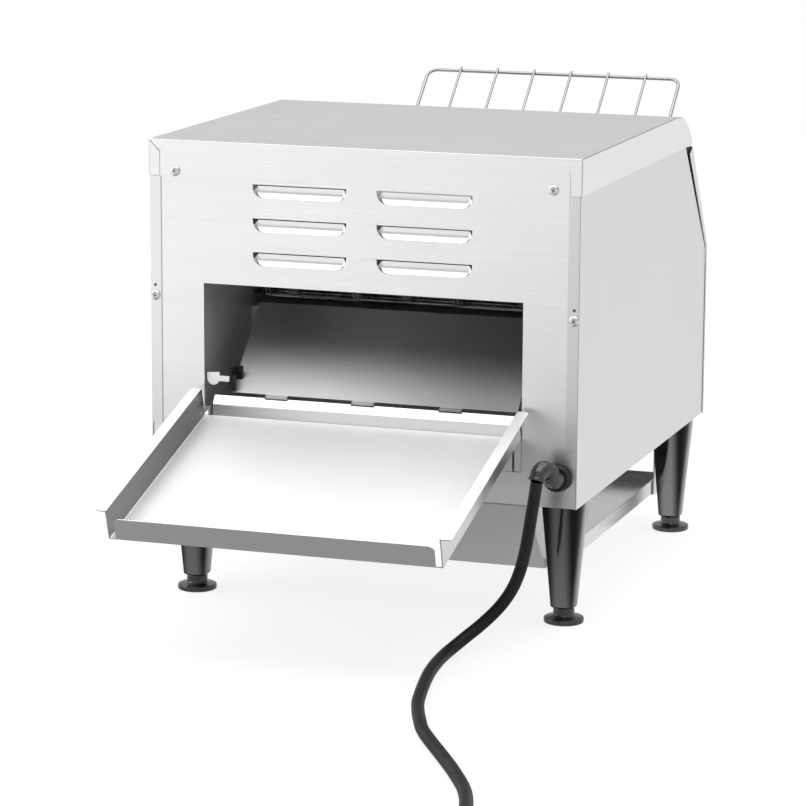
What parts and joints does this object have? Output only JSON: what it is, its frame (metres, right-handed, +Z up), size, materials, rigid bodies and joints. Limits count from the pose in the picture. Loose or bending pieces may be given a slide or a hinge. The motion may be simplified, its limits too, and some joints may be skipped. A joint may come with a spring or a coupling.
{
  "type": "conveyor toaster",
  "caption": "Counter-top conveyor toaster with wire belt, quartz tubes, sloped feed mouth and rack, swinging diverter, rear delivery tray and a lower return tray, on tall levelling legs.",
  "frame": {"origin": "on the surface the feet stand on, at the middle of the machine with its feed rack and delivery tray", "axes": "+Z up, +Y towards the rear where toast is delivered, +X to the right of someone at the front feeding bread"},
  "size_m": [0.4465, 1.2046, 0.3977],
  "materials": {
    "stainless": "brushed stainless sheet",
    "inner_steel": "plain steel sheet, heat tinted",
    "reflector": "bright reflector sheet",
    "wire": "bright plated wire",
    "belt_wire": "drawn steel wire",
    "shaft_steel": "turned steel",
    "zinc": "zinc plated",
    "quartz": "satin quartz",
    "ceramic": "unglazed ceramic",
    "bronze": "sintered bronze",
    "black_plastic": "moulded, semi matt",
    "grey_plastic": "moulded",
    "dark_casting": "dark enamel",
    "circuit": "solder mask",
    "rocker_red": "moulded, gloss",
    "lamp_amber": "translucent lens",
    "rubber": "black, satin"
  },
  "bodies": {
    "machine": {"top_cover": "stainless", "side_panel_right": "stainless", "side_panel_left": "stainless", "rear_panel": "stainless", "front_fascia": "stainless", "front_panel": "stainless", "base_plate": "stainless", "inner_wall_right": "inner_steel", "inner_wall_left": "inner_steel", "partition_plate": "inner_steel", "heat_shield": "inner_steel", "upper_reflector": "reflector", "lower_reflector": "reflector", "upper_quartz_tubes": "quartz", "lower_quartz_tubes": "quartz", "ceramic_end_caps": "ceramic", "shaft_bushes": "bronze", "conveyor_belt": "belt_wire", "belt_rails": "belt_wire", "drive_chain": "shaft_steel", "gear_motor": "dark_casting", "motor_bracket": "zinc", "fan_housing": "black_plastic", "terminal_block": "ceramic", "safety_thermostat": "black_plastic", "speed_board": "circuit", "speed_control": "grey_plastic", "heat_switch": "grey_plastic", "rocker_bezel": "black_plastic", "signal_lamp": "lamp_amber", "sill_strip": "stainless", "return_chute": "stainless", "tray_hangers": "stainless", "rack_arms": "stainless", "legs": "black_plastic", "panel_screws": "zinc", "cord_gland": "black_plastic", "strain_relief": "rubber", "power_cord": "rubber", "cord_coil": "rubber", "plug": "rubber"},
    "conveyor_drive": {"drive_shaft": "shaft_steel", "drive_belt_wheels": "shaft_steel", "chain_wheel": "shaft_steel"},
    "conveyor_idler": {"idler_shaft": "shaft_steel", "idler_belt_wheels": "shaft_steel"},
    "motor_shaft": {"motor_pinion": "shaft_steel"},
    "fan": {"fan_impeller": "black_plastic"},
    "speed_dial": {"speed_knob": "black_plastic"},
    "heat_dial": {"heat_knob": "black_plastic"},
    "power_switch": {"power_rocker": "rocker_red"},
    "diverter": {"diverter_plate": "stainless", "diverter_lever": "stainless"},
    "delivery_tray": {"outlet_tray": "stainless"},
    "lower_tray": {"return_tray": "stainless"},
    "rack": {"feed_rack": "wire"},
    "foot_rear_right": {"foot_rear_right": "black_plastic"},
    "foot_rear_left": {"foot_rear_left": "black_plastic"},
    "foot_front_right": {"foot_front_right": "black_plastic"},
    "foot_front_left": {"foot_front_left": "black_plastic"}
  },
  "joints": [
    {"name": "drive_shaft_spin", "type": "hinge", "parent": "machine", "child": "conveyor_drive", "pos_m": [0, 0.04609, 0.254], "axis": [1, 0, 0], "continuous": true, "deforming": ["drive_chain"]},
    {"name": "idler_shaft_spin", "type": "hinge", "parent": "machine", "child": "conveyor_idler", "pos_m": [0, -0.20891, 0.254], "axis": [1, 0, 0], "continuous": true},
    {"name": "motor_shaft_spin", "type": "hinge", "parent": "machine", "child": "motor_shaft", "pos_m": [0, 0.00315, 0.16192], "axis": [1, 0, 0], "continuous": true},
    {"name": "fan_spin", "type": "hinge", "parent": "machine", "child": "fan", "pos_m": [-0.062, -0.10091, 0], "axis": [0, 0, 1], "continuous": true},
    {"name": "speed_knob_turn", "type": "hinge", "parent": "machine", "child": "speed_dial", "pos_m": [0.0961, -0.24791, 0.19], "axis": [0, 1, 0], "range_deg": [0, 270]},
    {"name": "heat_knob_turn", "type": "hinge", "parent": "machine", "child": "heat_dial", "pos_m": [0.0279, -0.24791, 0.19], "axis": [0, 1, 0], "range_deg": [0, 270]},
    {"name": "power_rocker_tilt", "type": "hinge", "parent": "machine", "child": "power_switch", "pos_m": [-0.093, -0.24191, 0.19], "axis": [1, 0, 0], "range_deg": [0, 24]},
    {"name": "diverter_swing", "type": "hinge", "parent": "machine", "child": "diverter", "pos_m": [0, 0.16359, 0.1775], "axis": [-1, 0, 0], "range_deg": [0, 45]},
    {"name": "delivery_tray_lift", "type": "slide", "parent": "machine", "child": "delivery_tray", "axis": [0, 0, 1], "range_m": [0, 0.012]},
    {"name": "lower_tray_slide", "type": "slide", "parent": "machine", "child": "lower_tray", "axis": [0, -1, 0], "range_m": [0, 0.2]},
    {"name": "rack_lift", "type": "slide", "parent": "machine", "child": "rack", "axis": [0, 0, 1], "range_m": [0, 0.06]},
    {"name": "foot_rear_right_screw", "type": "slide", "parent": "machine", "child": "foot_rear_right", "axis": [0, 0, -1], "range_m": [0, 0.015]},
    {"name": "foot_rear_left_screw", "type": "slide", "parent": "machine", "child": "foot_rear_left", "axis": [0, 0, -1], "range_m": [0, 0.015]},
    {"name": "foot_front_right_screw", "type": "slide", "parent": "machine", "child": "foot_front_right", "axis": [0, 0, -1], "range_m": [0, 0.015]},
    {"name": "foot_front_left_screw", "type": "slide", "parent": "machine", "child": "foot_front_left", "axis": [0, 0, -1], "range_m": [0, 0.015]}
  ],
  "couplings": [
    {"joint": "idler_shaft_spin", "follows": "drive_shaft_spin", "ratio": 1},
    {"joint": "motor_shaft_spin", "follows": "drive_shaft_spin", "ratio": 1}
  ]
}
